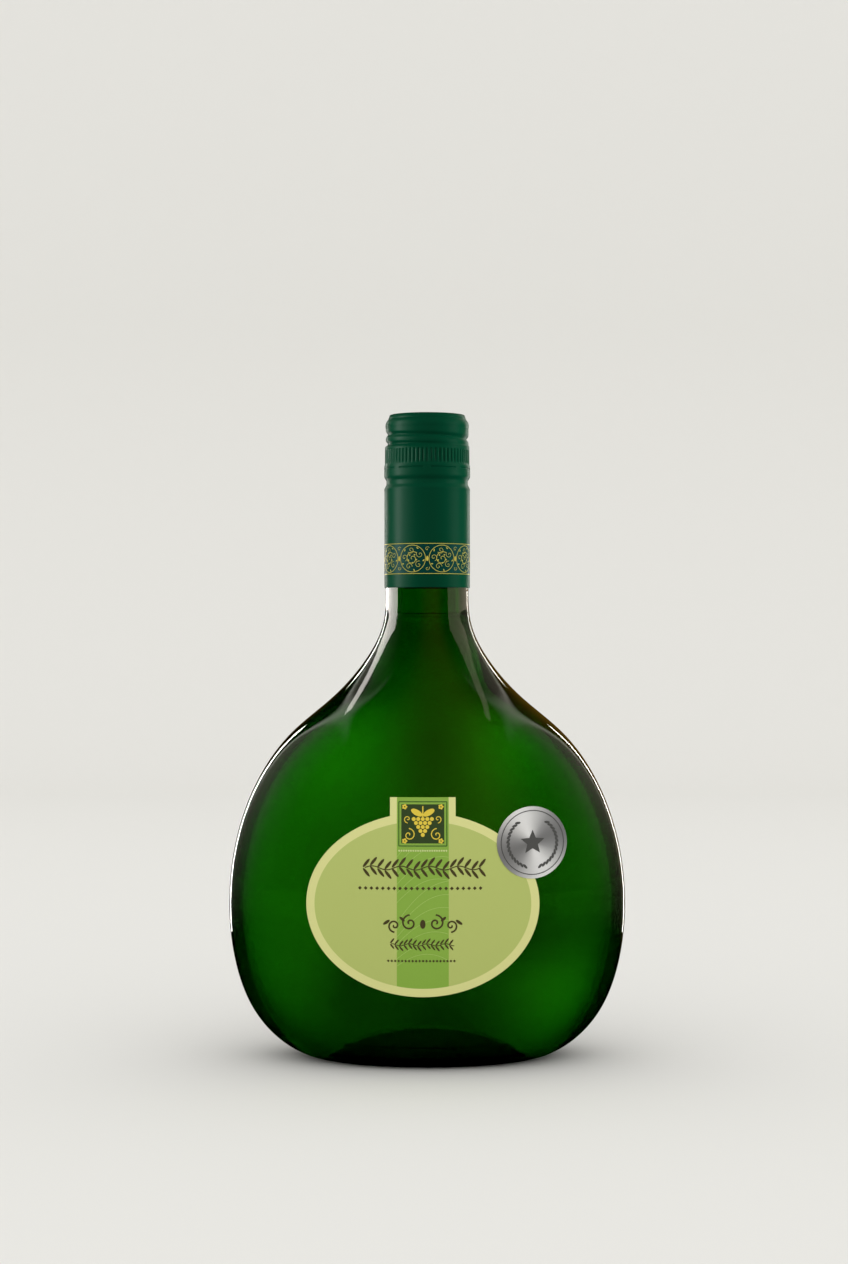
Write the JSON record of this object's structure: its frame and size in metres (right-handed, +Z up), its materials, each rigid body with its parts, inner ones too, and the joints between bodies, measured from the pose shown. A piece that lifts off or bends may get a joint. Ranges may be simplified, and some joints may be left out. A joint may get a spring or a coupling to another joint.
{
  "type": "wine bottle",
  "caption": "Flattened round-bodied green glass flask bottle of white wine, with a long dark green screw cap, an oval front label with a tab, and a round silver seal.",
  "frame": {"origin": "middle of the foot, on the surface the bottle stands on", "axes": "+Z up through the neck, +X to the right of the front, -Y out of the labelled front"},
  "size_m": [0.1376, 0.0808, 0.2226],
  "materials": {
    "green_glass": "clear bottle-green container glass",
    "white_wine": "clear pale yellow wine",
    "cap_lacquer": "satin dark green lacquer on aluminium",
    "label_paper": "printed uncoated label paper",
    "seal_foil": "embossed silver foil"
  },
  "bodies": {
    "root": {"bottle_glass": "green_glass", "wine": "white_wine", "screw_cap": "cap_lacquer", "front_label": "label_paper", "award_seal": "seal_foil"}
  },
  "joints": []
}
